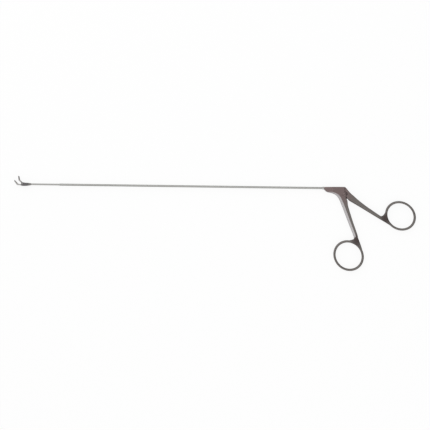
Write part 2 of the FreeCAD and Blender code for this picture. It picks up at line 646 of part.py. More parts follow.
def rod_fork():
    pin = drive_pin_place()
    half = fork_half_width()
    back = pin.x + FORK_LENGTH
    crown = 0.35
    upper = polar(pin, FORK_EAR_RADIUS, 90)
    lower = polar(pin, FORK_EAR_RADIUS, 270)
    ears = plate([arc(upper, polar(pin, FORK_EAR_RADIUS, 180), lower),
                  line(lower, point(back, -FORK_BARREL_RADIUS)),
                  line(point(back, -FORK_BARREL_RADIUS), point(back, FORK_BARREL_RADIUS)),
                  line(point(back, FORK_BARREL_RADIUS), upper)], -half, half)
    gap = JAW_TAIL_WIDTH / 2 + SIDE_CLEARANCE
    ears = ears.cut(Part.makeBox(FORK_LENGTH + 1 - crown, 4, 2 * gap, Vector(pin.x - 1, -3, -gap)))
    barrel = bar_x(FORK_BARREL_RADIUS, back - crown, back + FORK_BARREL_LENGTH)
    fork = ears.fuse(barrel)
    barrel_end = back + FORK_BARREL_LENGTH
    return fork.cut([bar_x(ROD_TIP_RADIUS, barrel_end - ROD_TIP_LENGTH, barrel_end + 1),
                     disc(DRIVE_PIN_RADIUS, pin, -half, half)])


def pull_rod():
    front = drive_pin_place().x + FORK_LENGTH + FORK_BARREL_LENGTH
    rear = LINK_X - CLEVIS_EAR_LENGTH
    rod = bar_x(ROD_RADIUS, front, rear)
    return rod.fuse(bar_x(ROD_TIP_RADIUS, front - ROD_TIP_LENGTH, front))


def rod_clevis():
    barrel_rear = LINK_X - CLEVIS_EAR_LENGTH
    barrel_front = barrel_rear - CLEVIS_BARREL_LENGTH
    over = 2 * CLEVIS_RADIUS
    body = bar_x(CLEVIS_RADIUS, barrel_front, LINK_X + over)
    front = [edge for edge in body.Edges if edge.BoundBox.XMax < barrel_front + 0.01]
    body = body.makeChamfer(0.2, front)
    link = point(LINK_X, 0)
    sides = Part.makeBox(LINK_X - barrel_front, 2 * over, 2 * over, Vector(barrel_front, -over, -over))
    body = body.common(sides.fuse(disc(CLEVIS_RADIUS, link, -over, over)))
    slot = Part.makeBox(CLEVIS_EAR_LENGTH + over, 2 * over, CLEVIS_SLOT,
                        Vector(barrel_rear, -over, -CLEVIS_SLOT / 2))
    return body.cut([slot, bar_x(ROD_RADIUS, barrel_front - 1, barrel_rear),
                     disc(LINK_PIN_RADIUS, link, -over, over)])


def clevis_lock_nut():
    rear = LINK_X - CLEVIS_EAR_LENGTH - CLEVIS_BARREL_LENGTH
    nut = hexagon_x(NUT_FLATS, rear - NUT_THICKNESS, rear)
    return nut.cut(bar_x(ROD_RADIUS, rear - NUT_THICKNESS - 1, rear + 1))


def link_pin():
    reach = math.sqrt(CLEVIS_RADIUS ** 2 - LINK_PIN_RADIUS ** 2)
    return disc(LINK_PIN_RADIUS, point(LINK_X, 0), -reach, reach)


if __name__ == "__main__":
    os.makedirs("parts", exist_ok=True)
    save("front_handle", front_handle())
    save("thumb_handle", thumb_handle())
    save("pivot_screw", pivot_screw())
    save("pivot_bush", pivot_bush())
    save("pivot_washers", pivot_washers())
    save("stop_pin", stop_pin())
    save("nose_ferrule", nose_ferrule())
    save("shaft_tube", shaft_tube())
    save("distal_tube", distal_tube())
    save("tube_lock_screw", tube_lock_screw())
    save("guide_bushes", guide_bushes())
    save("gland_bush", gland_bush())
    save("fixed_jaw", fixed_jaw())
    save("moving_jaw", moving_jaw())
    save("jaw_pin", jaw_pin())
    save("drive_pin", drive_pin())
    save("rod_fork", rod_fork())
    save("pull_rod", pull_rod())
    save("rod_clevis", rod_clevis())
    save("clevis_lock_nut", clevis_lock_nut())
    save("link_pin", link_pin())
    print("squeeze", SWING, "rod travel", 2 * HALF_TRAVEL)
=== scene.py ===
import math

import bmesh
import bpy
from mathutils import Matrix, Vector


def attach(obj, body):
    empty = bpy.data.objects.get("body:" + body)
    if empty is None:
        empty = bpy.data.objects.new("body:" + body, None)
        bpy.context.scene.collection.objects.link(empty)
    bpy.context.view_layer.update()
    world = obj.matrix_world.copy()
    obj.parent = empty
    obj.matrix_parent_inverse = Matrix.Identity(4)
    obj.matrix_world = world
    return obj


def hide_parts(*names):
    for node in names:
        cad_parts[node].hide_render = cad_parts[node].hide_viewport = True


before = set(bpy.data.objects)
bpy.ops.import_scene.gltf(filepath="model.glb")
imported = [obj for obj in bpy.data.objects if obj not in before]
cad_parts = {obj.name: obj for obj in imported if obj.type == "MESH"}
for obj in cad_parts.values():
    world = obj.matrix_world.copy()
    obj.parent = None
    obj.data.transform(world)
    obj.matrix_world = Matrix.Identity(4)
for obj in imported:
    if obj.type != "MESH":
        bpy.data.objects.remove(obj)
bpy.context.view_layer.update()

bl_info = {
    "name": "Microlaryngeal cup forceps",
    "version": (1, 0, 0),
    "blender": (4, 5, 0),
    "location": "View3D > Sidebar > Forceps",
    "description": "Dresses the packed cup forceps in satin steel and sets the stage",
    "category": "Object",
}

MM = 0.001

# Places and sizes that the pieces share, in millimetres and degrees, as the frame's solids have them

# Handle joint
PIVOT = (20.2, -5.35)
SWING = 8.762
LINK = (19.79, 0.0)
SEAM = 20.35
SEAM_GAP = 0.06
EAR_RADIUS = 2.3
EAR_GAP = 0.15
NOTCH_ANGLE = -65.6
NOTCH_REACH = 5.33
WEDGE_SPARE = 1.2
STOP_PIN = (17.26, -6.42)
STOP_PIN_SEAT = 0.53

# Handle block, its slot and the thumb half's tongue
NOSE = 1.8
NOSE_DRAFT = 8.0
HALF_HANDLE = 2.4
HALF_SLOT = 1.1
SLOT_ROUND = 2.9
CHANNEL_FROM = 9.8
CHANNEL_FLOOR = -1.15
ROOT_OVERLAP = 2.5
TONGUE_RADIUS = 2.6
TONGUE_HALF = 0.9
LINK_TIP = 0.9
LINK_HALF = 0.4
LINK_BORE = 0.39
LINK_SPARE = 0.25
ARM_FROM = -1.3
HEEL_ANGLE = 1.0
BUSH_RADIUS = 1.3

# How far inside the notch's end each form ends
THUMB_BLOCK_SHORT = 0.2
SLOT_SHORT = 0.3
TONGUE_SHORT = 0.6

# Pivot screw and lock screw
SHANK_RADIUS = 0.9
THREAD_RADIUS = 0.7
HEAD_RADIUS = 1.6
HEAD_SEAT_RADIUS = 1.66
HEAD_SEAT_DEPTH = 0.5
HEAD_PROUD = 0.3
DRIVER_SLOT = (6, 0.38, 0.66)
DRIVER_SLOT_TURN = 60
LOCK_SCREW_X = 6.0
LOCK_SCREW_BORE = 0.83

# Shaft
SHAFT_RADIUS = 0.925
SHAFT_BORE = 0.6
SHAFT_FRONT = -235.8
SHAFT_TIP = -236.7
SPIGOT_RADIUS = 0.7
SPIGOT_END = 9.3
DISTAL_RADIUS = 0.75
DISTAL_BORE = 0.56
DISTAL_FRONT = -264.5
DISTAL_REAR = -229.8

# Rings, each by its middle, its two half lengths to the wire's centre and its lean
FINGER_RING = {"centre": (24.71, -60.45), "long": 13.36, "short": 12.16, "tilt": -47.0}
THUMB_RING = {"centre": (70.93, -24.04), "long": 13.36, "short": 11.74, "tilt": -34.9}

# Legs, station by station: front edge, rear edge, thickness, width of the facet at the front edge
FRONT_LEG = [
    ((5.0, -3.7), (5.6, -1.0), 3.3, 0.5),
    ((7.4, -4.15), (8.0, -1.2), 4.0, 0.75),
    ((9.6, -4.75), (11.0, -1.8), 4.65, 0.95),
    ((12.7, -6.3), (15.6, -3.2), 4.8, 1.4),
    ((14.7, -8.6), (18.6, -5.8), 4.8, 1.8),
    ((16.3, -11.6), (22.5, -10.3), 4.8, 1.9),
    ((19.1, -18.2), (23.7, -16.4), 4.1, 1.9),
    ((24.0, -30.7), (27.85, -29.2), 3.3, 1.9),
    ((28.5, -41.7), (32.0, -40.6), 2.9, 1.8),
    ((29.4, -44.9), (32.85, -43.9), 2.8, 1.6)]
REAR_LEG = [
    ((23.3, -9.6), (25.0, -4.0), 4.8, 0.2),
    ((25.15, -11.4), (28.3, -6.6), 4.8, 0.7),
    ((30.6, -14.5), (33.4, -10.95), 4.2, 0.9),
    ((37.85, -18.75), (40.0, -15.9), 3.5, 0.8),
    ((50.1, -26.0), (51.6, -23.6), 2.9, 0.7),
    ((57.2, -30.05), (58.5, -28.0), 2.7, 0.7),
    ((62.4, -33.3), (63.4, -31.8), 2.6, 0.6)]
FRONT_EDGE_SHARE = 0.42
REAR_EDGE_SHARE = 0.95

# Webs in the corners between the legs and the rings, as outlines in plan
FRONT_WEB = [
    (31.0, -40.8), (30.6, -42.8), (29.9, -44.6), (28.9, -45.6), (27.4, -46.2), (25.4, -46.65),
    (23.6, -46.9), (23.6, -47.75), (30.85, -49.65), (34.95, -53.45), (36.9, -57.4), (37.3, -56.9),
    (36.1, -52.6), (34.7, -48.8), (33.0, -44.4), (32.0, -41.0)]
REAR_WEB = [
    (50.9, -23.9), (52.8, -24.5), (54.2, -24.5), (55.3, -23.8), (56.5, -22.4), (57.1, -20.9),
    (58.4, -21.3), (59.6, -28.4), (62.8, -32.8), (60.9, -31.8), (57.2, -29.5), (53.3, -27.1),
    (49.8, -24.8)]
WEB_HALF = 1.3

# Widths of the broken edges, and how often the jaws are polished over
BLOCK_BREAK = 0.22
WEB_BREAK = 0.5
TONGUE_BREAK = 0.12
JAW_PASSES = 4

# How close corners lie that count as one, on a turned piece, on a copied solid and on a leg
TURNED_MERGE = 0.0005
COPY_MERGE = 0.002
LEG_MATCH = 0.02
LINE_MATCH = 0.001

# Zones of another shade: a place with how far it is full and how far it fades, or a run along an axis
JOINT_ZONE = ((12.0, 0.0), 9.0, 24.0)
# Painted shade: the corners between leg and ring in front of each ring are painted darker
FRONT_WEB_SHADE_ZONE = ((32.6, -46.0), 1.5, 8.5)
REAR_WEB_SHADE_ZONE = ((57.8, -26.6), 1.5, 8.0)
CUP_END_RUN = (-269.8, -271.6)
HEAD_REAR_RUN = (-266.0, -262.5)
# Where the front facet's painted sheen lies, across the handle and down the leg
FACET_SHEEN_ACROSS = (-2.0, 15.0)
FACET_SHEEN_DOWN = (-46.5, -42.5)

# Painted sheen on the front facet, picked by how it faces: outward, neither flat on top nor upright
FACET_SHEEN_OUTWARD = (-0.5, -0.87, 0)
FACET_SHEEN_TURN = (0.1, 0.24)
FACET_SHEEN_STEEPEST = (0.25, 0.5)
FACET_SHEEN_FLATTEST = (0.985, 0.95)

# Grain: how many clouds of each kind go on a metre, and the depth of the relief in millimetres
FINE_SCALE = 9000.0
DRIFT_SCALE = 160.0
WEAR_SCALE = 700.0
RELIEF_DEPTH = 0.02

# Stage, in metres but for the floor's gap under the handle, which is in millimetres
FLOOR_GAP = 0.02
FLOOR_SIZE = 6.0
FLOOR_MIDDLE = (-0.1, 0.0)
FLOOR_WHITE = 0.88
BRIGHT_SIDE = (-0.45, -0.35, 0.82)
WALL_RUN = (-0.15, 0.85)
WALL_GREY = 0.2
PICTURE_MIDDLE = (-0.096, -0.0255)
SENSOR_WIDTH = 36.0

# Softboxes: place, target, side and share of the main one's power
SOFTBOXES = {
    "softbox_left": ((-0.4, 0.65, 0.85), (-0.05, -0.02, 0), 1.5, 1.0),
    "softbox_right": ((0.3, -0.75, 0.8), (0.0, -0.02, 0), 1.3, 0.45)}


# Points in plan

def polar(centre, radius, angle):
    """Point at a distance and an angle from the centre."""
    turn = math.radians(angle)
    return (centre[0] + radius * math.cos(turn), centre[1] + radius * math.sin(turn))


def sweep(centre, radius, first, last, steps):
    """Points of an arc from one angle to another, both included."""
    return [polar(centre, radius, first + (last - first) * step / steps) for step in range(steps + 1)]


def smooth_row(points, steps):
    """Points of the smooth curve that passes through the given ones."""
    row = []
    count = len(points)
    for here in range(count - 1):
        before = points[max(here - 1, 0)]
        start = points[here]
        end = points[here + 1]
        after = points[min(here + 2, count - 1)]
        for step in range(steps):
            t = step / steps
            row.append(tuple(
                0.5 * (2 * b + (c - a) * t + (2 * a - 5 * b + 4 * c - d) * t * t
                       + (3 * b - a - 3 * c + d) * t ** 3)
                for a, b, c, d in zip(before, start, end, after)))
    row.append(points[-1])
    return row


# Modelling steps that several pieces use

def rest_hands():
    """Object mode with nothing selected."""
    if bpy.context.object and bpy.context.object.mode != "OBJECT":
        bpy.ops.object.mode_set(mode="OBJECT")
    bpy.ops.object.select_all(action="DESELECT")


def take(obj):
    """Object alone selected and active."""
    rest_hands()
    obj.select_set(True)
    bpy.context.view_layer.objects.active = obj


def edit(obj, kind="VERT"):
    """Edit mode on the object with nothing selected."""
    take(obj)
    bpy.ops.object.mode_set(mode="EDIT")
    bpy.ops.mesh.select_mode(type=kind)
    bpy.ops.mesh.select_all(action="DESELECT")


def pick(obj, kind, wanted):
    """Selects the wanted corners of a mesh in edit mode, asked for by place, or the wanted edges."""
    bpy.ops.mesh.select_all(action="DESELECT")
    mesh = bmesh.from_edit_mesh(obj.data)
    if kind == "VERT":
        chosen = [vert for vert in mesh.verts if wanted(vert.co / MM)]
    else:
        chosen = [edge for edge in mesh.edges if wanted(edge)]
    for part in chosen:
        part.select = True
    mesh.select_flush_mode()
    bmesh.update_edit_mesh(obj.data)
    return len(chosen)


def settle(obj, name):
    """Applies the object's place, so that it sits at the origin, and names it."""
    take(obj)
    bpy.ops.object.transform_apply(location=True, rotation=True, scale=True)
    obj.name = name
    obj.data.name = name
    return obj


def draw(name, points):
    """Row of edges through the points, drawn by extruding one corner from place to place."""
    rest_hands()
    bpy.ops.mesh.primitive_plane_add(size=MM, location=[value * MM for value in points[0]])
    row = bpy.context.object
    edit(row)
    bpy.ops.mesh.select_all(action="SELECT")
    bpy.ops.mesh.merge(type="CENTER")
    for here, there in zip(points, points[1:]):
        step = [(b - a) * MM for a, b in zip(here, there)]
        bpy.ops.mesh.extrude_vertices_move(TRANSFORM_OT_translate={"value": step})
    return settle(row, name)


def plate(name, outline, low, high):
    """Flat piece with the outline in plan, between two heights."""
    obj = draw(name, [(x, y, low) for x, y in outline])
    edit(obj)
    bpy.ops.mesh.select_all(action="SELECT")
    bpy.ops.mesh.edge_face_add()
    bpy.ops.mesh.extrude_region_move(TRANSFORM_OT_translate={"value": (0, 0, (high - low) * MM)})
    bpy.ops.mesh.select_all(action="SELECT")
    bpy.ops.mesh.normals_make_consistent(inside=False)
    rest_hands()
    return obj


def turned(name, profile, axis, centre=(0, 0, 0), steps=64):
    """Round piece spun from its profile of (along the axis, radius) pairs."""
    if axis == "X":
        points = [(centre[0] + along, centre[1] + radius, centre[2]) for along, radius in profile]
        line = (1, 0, 0)
    else:
        points = [(centre[0] + radius, centre[1], centre[2] + along) for along, radius in profile]
        line = (0, 0, 1)
    obj = draw(name, points)
    edit(obj)
    bpy.ops.mesh.select_all(action="SELECT")
    bpy.ops.mesh.spin(steps=steps, angle=2 * math.pi, center=[value * MM for value in centre], axis=line)
    bpy.ops.mesh.select_all(action="SELECT")
    bpy.ops.mesh.remove_doubles(threshold=TURNED_MERGE * MM)
    bpy.ops.mesh.normals_make_consistent(inside=False)
    rest_hands()
    return smooth(obj, 35)


def smooth(obj, angle):
    """Smooth shading over the edges that are blunter than the angle."""
    take(obj)
    bpy.ops.object.shade_smooth_by_angle(angle=math.radians(angle))
    return obj


def finish_with(obj, kind, **values):
    """Adds a modifier with the values and applies it."""
    take(obj)
    modifier = obj.modifiers.new(kind.lower(), kind)
    for key, value in values.items():
        setattr(modifier, key, value)
    bpy.ops.object.modifier_apply(modifier=modifier.name)
    return obj


def break_edges(obj, width, segments, angle):
    """Bevels the edges that are sharper than the angle."""
    return finish_with(obj, "BEVEL", width=width * MM, segments=segments, limit_method="ANGLE",
                       angle_limit=math.radians(angle))


def join_all(parts, name):
    """One object of several, not yet melted together."""
    rest_hands()
    for part in parts:
        part.select_set(True)
    bpy.context.view_layer.objects.active = parts[0]
    bpy.ops.object.join()
    joined = bpy.context.object
    joined.name = name
    joined.data.name = name
    return joined


def cut_away(obj, *cutters):
    """Takes the cutters' shapes out of the piece, one after another."""
    for cutter in cutters:
        finish_with(obj, "BOOLEAN", operation="DIFFERENCE", object=cutter, solver="EXACT")
        bpy.data.objects.remove(cutter)
    return obj


def forge(obj, voxel, passes):
    """Melts the forms of an object into one skin with blended corners, as a forging flows."""
    finish_with(obj, "REMESH", mode="VOXEL", voxel_size=voxel * MM, adaptivity=0.0)
    finish_with(obj, "SMOOTH", factor=0.5, iterations=passes)
    return obj


def rod_cutter(name, radius, start, end, axis, centre=(0.0, 0.0), vertices=48):
    """Round bar that a bore is cut with."""
    rest_hands()
    middle = (start + end) / 2
    if axis == "X":
        place, turn = (middle, centre[1], 0), (0, math.pi / 2, 0)
    elif axis == "Y":
        place, turn = (centre[0], middle, 0), (math.pi / 2, 0, 0)
    else:
        place, turn = (centre[0], centre[1], middle), (0, 0, 0)
    bpy.ops.mesh.primitive_cylinder_add(vertices=vertices, radius=radius * MM, depth=abs(end - start) * MM,
                                        location=[value * MM for value in place], rotation=turn)
    return settle(bpy.context.object, name)


def box_cutter(name, low, high):
    """Box between two corners that a step is cut with."""
    rest_hands()
    bpy.ops.mesh.primitive_cube_add(size=MM, location=[(a + b) / 2 * MM for a, b in zip(low, high)],
                                    scale=[b - a for a, b in zip(low, high)])
    return settle(bpy.context.object, name)


def dress(obj, material, body, slot, *nodes):
    """Gives a finished piece its material and its body, and hides the nodes that it stands for; the slot
    is not used.
    """
    obj.data.materials.clear()
    obj.data.materials.append(material)
    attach(obj, body)
    if nodes:
        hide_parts(*nodes)
    return obj


def coat(node, material):
    """Gives a frame solid its finish."""
    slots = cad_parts[node].data.materials
    slots.clear()
    slots.append(material)


# Handles

def leg_form(name, stations):
    """Leg grown in edit mode as a ladder of stations, thick along its crease and thin in front."""
    rows = smooth_row([(*front, *rear, thick, facet) for front, rear, thick, facet in stations], 6)
    front_line = []
    crease_line = []
    rear_line = []
    for front_x, front_y, rear_x, rear_y, _, facet in rows:
        front = Vector((front_x, front_y, 0))
        rear = Vector((rear_x, rear_y, 0))
        crease = front + (rear - front).normalized() * facet
        front_line.append(front)
        crease_line.append(crease)
        rear_line.append(rear)
    lines = (front_line, crease_line, rear_line)
    leg = join_all([draw(name, line) for line in lines], name)
    # Skin between each two of the lines
    for both in (front_line + crease_line, crease_line + rear_line):
        edit(leg, "EDGE")
        pick(leg, "EDGE", lambda edge: all(min((v.co / MM - spot).length for spot in both) < LINE_MATCH
                                           for v in edge.verts))
        bpy.ops.mesh.bridge_edge_loops()
    # Thickness, first the same all over and then as each station asks
    edit(leg)
    bpy.ops.mesh.select_all(action="SELECT")
    bpy.ops.mesh.extrude_region_move(TRANSFORM_OT_translate={"value": (0, 0, MM)})
    for index, row in enumerate(rows):
        half = min(row[4] / 2, HALF_HANDLE)
        for line, share in zip(lines, (FRONT_EDGE_SHARE, 1.0, REAR_EDGE_SHARE)):
            spot = line[index]
            for now, height in ((0, -half * share), (1, half * share)):
                place = Vector((spot.x, spot.y, now))
                if pick(leg, "VERT", lambda co: (co - place).length < LEG_MATCH):
                    bpy.ops.transform.translate(value=(0, 0, (height - now) * MM))
    bpy.ops.mesh.select_all(action="SELECT")
    bpy.ops.mesh.normals_make_consistent(inside=False)
    rest_hands()
    return leg


def web_form(name, outline):
    """Thin web that fills the corner between leg and ring, with its edges broken."""
    return break_edges(plate(name, outline, -WEB_HALF, WEB_HALF), WEB_BREAK, 3, 60)


def ring_form(name, ring, width, depth):
    """Oval ring of oval wire: a torus pressed to the ring's two lengths and to the wire's depth."""
    rest_hands()
    middle = (ring["long"] + ring["short"]) / 2
    centre_x, centre_y = ring["centre"]
    bpy.ops.mesh.primitive_torus_add(
        major_radius=middle * MM, minor_radius=width / 2 * MM, major_segments=160, minor_segments=32,
        location=(centre_x * MM, centre_y * MM, 0), rotation=(0, 0, math.radians(ring["tilt"])))
    torus = bpy.context.object
    torus.scale = (ring["long"] / middle, ring["short"] / middle, depth / width)
    return settle(torus, name)


def nose_wedge(side):
    """Block whose face draws the nose down from the handle's thickness to the ferrule's."""
    reach = 40
    facing = Vector((-1.0, 0, side * NOSE_DRAFT)).normalized()
    place = Vector((NOSE + NOSE_DRAFT, 0, side * HALF_HANDLE)) + facing * reach / 2
    rest_hands()
    bpy.ops.mesh.primitive_cube_add(size=reach * MM, location=place * MM,
                                    rotation=facing.to_track_quat("Z", "Y").to_euler())
    return settle(bpy.context.object, "nose_wedge")


def front_block():
    """Body that the shaft runs into, with its nose drawn down to the ferrule."""
    chin = smooth_row([(NOSE, -1.22), (2.15, -1.45), (2.95, -2.3), (3.9, -3.1), (5.2, -3.5), (7.4, -3.5),
                       (9.9, -3.9), (13.8, -5.1), (16.5, -7.5), (18.5, -11.2)], 6)
    ear = sweep(PIVOT, EAR_RADIUS, NOTCH_ANGLE, 86.0, 24)
    outline = chin + [(22.5, -10.6), polar(PIVOT, NOTCH_REACH, NOTCH_ANGLE)] + ear
    outline += [(SEAM, 1.3), (14.0, 1.26), (9.8, 1.19), (NOSE, 1.06)]
    block = plate("front_block", outline, -HALF_HANDLE, HALF_HANDLE)
    block = cut_away(block, nose_wedge(1), nose_wedge(-1))
    return break_edges(block, BLOCK_BREAK, 3, 50)


def thumb_block():
    """Block of the thumb half behind the seam, hollowed round the ear of the front half."""
    open_angle = NOTCH_ANGLE + SWING + WEDGE_SPARE
    seam = SEAM + SEAM_GAP
    shoulder = smooth_row([(seam, 1.3), (21.9, -0.1), (25.0, -3.7), (28.3, -6.6)], 8)
    recess = sweep(PIVOT, EAR_RADIUS + EAR_GAP, open_angle, 85.0, 24)
    outline = shoulder + [(24.6, -9.6), polar(PIVOT, NOTCH_REACH - THUMB_BLOCK_SHORT, open_angle)] + recess
    block = plate("thumb_block", outline, -HALF_HANDLE, HALF_HANDLE)
    return break_edges(block, BLOCK_BREAK, 3, 50)


def front_handle_cutters():
    """Slot for the tongue and the clevis, seats for the screws and the bore behind the tube."""
    beyond = HALF_HANDLE + 1
    last_angle = NOTCH_ANGLE - ROOT_OVERLAP - SWING
    far_x, far_y = polar(PIVOT, NOTCH_REACH + 5, NOTCH_ANGLE)
    floor_end = polar(PIVOT, SLOT_ROUND, 180)
    slot_plan = [(far_x, far_y), (far_x + 5, 5), (CHANNEL_FROM, 5), (CHANNEL_FROM, CHANNEL_FLOOR),
                 (floor_end[0], CHANNEL_FLOOR)]
    slot_plan += sweep(PIVOT, SLOT_ROUND, 180, 360 + last_angle, 24)
    slot_plan += [polar(PIVOT, NOTCH_REACH - SLOT_SHORT, angle) for angle in (last_angle, NOTCH_ANGLE)]
    return (
        plate("slot", slot_plan, -HALF_SLOT, HALF_SLOT),
        rod_cutter("seat", HEAD_SEAT_RADIUS, HALF_HANDLE - HEAD_SEAT_DEPTH, beyond, "Z", PIVOT),
        rod_cutter("shank", SHANK_RADIUS, 0, HALF_HANDLE, "Z", PIVOT),
        rod_cutter("thread", THREAD_RADIUS, -beyond, 0.1, "Z", PIVOT),
        rod_cutter("lock", LOCK_SCREW_BORE, -12, -0.2, "Y", (LOCK_SCREW_X, 0)),
        rod_cutter("stop", STOP_PIN_SEAT, -beyond, beyond, "Z", STOP_PIN, 40),
        rod_cutter("passage", SPIGOT_RADIUS, NOSE - 1, CHANNEL_FROM + 1, "X"))


def forge_front_handle(sizes):
    """Finger half: block, leg, web and ring melted into one forging, then slotted and bored."""
    parts = [front_block(), leg_form("front_leg", FRONT_LEG), web_form("front_web", FRONT_WEB),
             ring_form("finger_ring", FINGER_RING, sizes.wire_width, sizes.wire_depth)]
    handle = forge(join_all(parts, "front_handle_forging"), sizes.voxel, sizes.smoothing)
    return smooth(cut_away(handle, *front_handle_cutters()), 40)


def forge_thumb_handle(sizes):
    """Thumb half: block, leg, web and ring melted into one forging, then hollowed round the ear."""
    parts = [thumb_block(), leg_form("rear_leg", REAR_LEG), web_form("rear_web", REAR_WEB),
             ring_form("thumb_ring", THUMB_RING, sizes.wire_width, sizes.wire_depth)]
    handle = forge(join_all(parts, "thumb_handle_forging"), sizes.voxel, sizes.smoothing)
    recess = rod_cutter("recess", EAR_RADIUS + EAR_GAP, -HALF_HANDLE - 1, HALF_HANDLE + 1, "Z", PIVOT)
    return smooth(cut_away(handle, recess), 40)


def tongue_plate():
    """Inner plate of the thumb half: hub on the bush, short arm up to the link and root in the block."""
    heel = NOTCH_ANGLE - ROOT_OVERLAP + HEEL_ANGLE
    outline = [polar(PIVOT, NOTCH_REACH - TONGUE_SHORT, heel), (26.0, -6.5), (21.95, -1.9)]
    outline += sweep(PIVOT, TONGUE_RADIUS, 60, 75, 4)
    outline += sweep(LINK, LINK_TIP, 0, 180, 20)
    outline += sweep(PIVOT, TONGUE_RADIUS, 120, 360 + heel, 40)
    tongue = break_edges(plate("thumb_tongue", outline, -TONGUE_HALF, TONGUE_HALF), TONGUE_BREAK, 2, 50)
    beyond = TONGUE_HALF + 0.4
    cutters = []
    for low, high in ((LINK_HALF, beyond), (-beyond, -LINK_HALF)):
        cutters.append(rod_cutter("link_step", LINK_TIP + LINK_SPARE, low, high, "Z", LINK))
        cutters.append(box_cutter("arm_step", (LINK[0] - 3, ARM_FROM, low), (LINK[0], 3, high)))
    cutters.append(rod_cutter("bush_bore", BUSH_RADIUS, -2, 2, "Z", PIVOT))
    cutters.append(rod_cutter("link_bore", LINK_BORE, -2, 2, "Z", LINK))
    return smooth(cut_away(tongue, *cutters), 35)


# Jaws, shaft and screws

def copy_of(node, name):
    """Merged copy of a frame solid, to be finished as a piece of its own."""
    rest_hands()
    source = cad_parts[node]
    piece = source.copy()
    piece.data = source.data.copy()
    piece.parent = None
    bpy.context.scene.collection.objects.link(piece)
    for key in list(piece.keys()):
        del piece[key]
    piece.name = name
    piece.data.name = name
    edit(piece)
    bpy.ops.mesh.select_all(action="SELECT")
    bpy.ops.mesh.remove_doubles(threshold=COPY_MERGE * MM)
    rest_hands()
    return piece


def polished(node, name, voxel, passes):
    """Copy of a solid with its edges broken by polishing."""
    return smooth(forge(copy_of(node, name), voxel, passes), 50)


def drawn_shaft_tube():
    """Long tube with its spigot behind, and in front its socket and a taper down to the thinner tube."""
    return turned("shaft_tube_drawn", [
        (SHAFT_TIP, DISTAL_RADIUS + 0.03), (SHAFT_FRONT, SHAFT_RADIUS), (-0.06, SHAFT_RADIUS), (0, 0.88),
        (0, SPIGOT_RADIUS), (SPIGOT_END, SPIGOT_RADIUS), (SPIGOT_END, SHAFT_BORE),
        (DISTAL_REAR, SHAFT_BORE), (DISTAL_REAR, DISTAL_RADIUS), (SHAFT_TIP, DISTAL_RADIUS),
        (SHAFT_TIP, DISTAL_RADIUS + 0.03)], "X")


def drawn_distal_tube():
    """Thinner tube that carries the hinge head, with its rear edge broken."""
    return turned("distal_tube_drawn", [
        (DISTAL_FRONT, DISTAL_BORE), (DISTAL_FRONT, DISTAL_RADIUS), (DISTAL_REAR - 0.04, DISTAL_RADIUS),
        (DISTAL_REAR, DISTAL_RADIUS - 0.03), (DISTAL_REAR, DISTAL_BORE), (DISTAL_FRONT, DISTAL_BORE)], "X")


def turned_ferrule():
    """Collar at the nose with a solder fillet towards the shaft and a fine groove."""
    return turned("nose_ferrule_turned", [
        (0, 0.935), (0.16, 0.97), (0.28, 1.04), (0.38, 1.13), (0.5, 1.18), (0.62, 1.2), (1.2, 1.2),
        (1.27, 1.165), (1.36, 1.165), (1.43, 1.2), (1.74, 1.2), (NOSE, 1.15), (NOSE, SPIGOT_RADIUS),
        (0, SPIGOT_RADIUS), (0, 0.935)], "X")


def slotted_pivot_screw():
    """Low domed screw head in its seat, with a driver's slot, on its shank and thread."""
    top = HALF_HANDLE + HEAD_PROUD
    under_head = HALF_HANDLE - HEAD_SEAT_DEPTH
    screw = turned("pivot_screw_turned", [
        (top, 0), (top - 0.01, 0.7), (top - 0.04, 1.1), (top - 0.1, 1.36), (top - 0.2, 1.53),
        (top - 0.32, HEAD_RADIUS), (under_head, HEAD_RADIUS), (under_head, SHANK_RADIUS),
        (-HALF_SLOT, SHANK_RADIUS), (-HALF_SLOT, THREAD_RADIUS), (-HALF_HANDLE + 0.12, THREAD_RADIUS),
        (-HALF_HANDLE, THREAD_RADIUS - 0.12), (-HALF_HANDLE, 0)], "Z", (*PIVOT, 0), 72)
    rest_hands()
    bpy.ops.mesh.primitive_cube_add(size=MM, location=(PIVOT[0] * MM, PIVOT[1] * MM, top * MM),
                                    rotation=(0, 0, math.radians(DRIVER_SLOT_TURN)), scale=DRIVER_SLOT)
    return smooth(cut_away(screw, settle(bpy.context.object, "driver_slot")), 30)


# Nodes that the finishes and the stage are built from

def linear(level):
    """Scene-linear value of an sRGB level from 0 to 255."""
    share = level / 255
    return share / 12.92 if share <= 0.04045 else ((share + 0.055) / 1.055) ** 2.4


def tone(red, green, blue):
    """Colour of three sRGB levels."""
    return (linear(red), linear(green), linear(blue), 1.0)


def feed(tree, value, socket):
    """Links another node's socket to this one, or sets this one to a plain value."""
    if isinstance(value, bpy.types.NodeSocket):
        tree.links.new(value, socket)
    else:
        socket.default_value = value


def number_step(tree, operation, *values):
    """Result of a sum, a product or the like."""
    step = tree.nodes.new("ShaderNodeMath")
    step.operation = operation
    for value, socket in zip(values, step.inputs):
        feed(tree, value, socket)
    return step.outputs[0]


def vector_step(tree, operation, first, second):
    """Result of a step with vectors: a vector, or a number for a distance or a dot product."""
    step = tree.nodes.new("ShaderNodeVectorMath")
    step.operation = operation
    feed(tree, first, step.inputs[0])
    feed(tree, second, step.inputs["Scale"] if operation == "SCALE" else step.inputs[1])
    return step.outputs["Value" if operation in ("DOT_PRODUCT", "DISTANCE") else "Vector"]


def spread(tree, source, start, end, low=0.0, high=1.0):
    """Straight run from the low value at the start to the high one at the end, and level beyond."""
    span = tree.nodes.new("ShaderNodeMapRange")
    for value, name in ((source, "Value"), (start, "From Min"), (end, "From Max"), (low, "To Min"),
                        (high, "To Max")):
        feed(tree, value, span.inputs[name])
    return span.outputs[0]


def between(tree, source, start, end):
    """Soft run from zero at the first value to one at the second."""
    share = spread(tree, source, start, end)
    share.node.interpolation_type = "SMOOTHSTEP"
    return share


